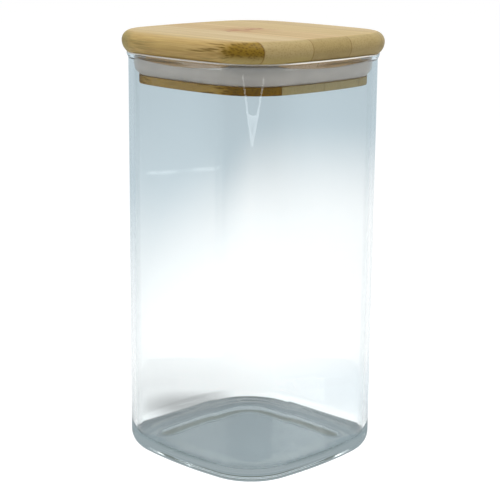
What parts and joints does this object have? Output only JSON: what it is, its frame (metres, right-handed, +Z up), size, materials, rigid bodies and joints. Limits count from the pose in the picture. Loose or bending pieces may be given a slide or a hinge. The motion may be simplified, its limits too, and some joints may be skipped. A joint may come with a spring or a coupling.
{
  "type": "storage canister",
  "caption": "Square storage jar of clear glass with round corners, closed by a bamboo lid whose plug carries a soft lip seal and lifts straight off.",
  "frame": {"origin": "middle of the base, on the surface that the jar stands on", "axes": "+Z up along the jar's axis; X and Y square to its sides, with the bamboo strips of the lid running along X"},
  "size_m": [0.103, 0.103, 0.2],
  "materials": {
    "glass": "clear blown borosilicate glass, fire-polished",
    "bamboo": "edge-glued bamboo, sanded and lightly oiled, satin",
    "silicone": "translucent white silicone, satin"
  },
  "bodies": {
    "jar": {"glass_jar": "glass"},
    "lid": {"lid_strip_1": "bamboo", "lid_strip_2": "bamboo", "lid_strip_3": "bamboo", "lid_strip_4": "bamboo", "lid_strip_5": "bamboo", "plug_strip_1": "bamboo", "plug_strip_2": "bamboo", "plug_strip_3": "bamboo", "plug_strip_4": "bamboo", "seal_ring": "silicone"}
  },
  "joints": [
    {"name": "lid_lift", "type": "slide", "parent": "jar", "child": "lid", "axis": [0, 0, 1], "range_m": [0, 0.12]}
  ]
}
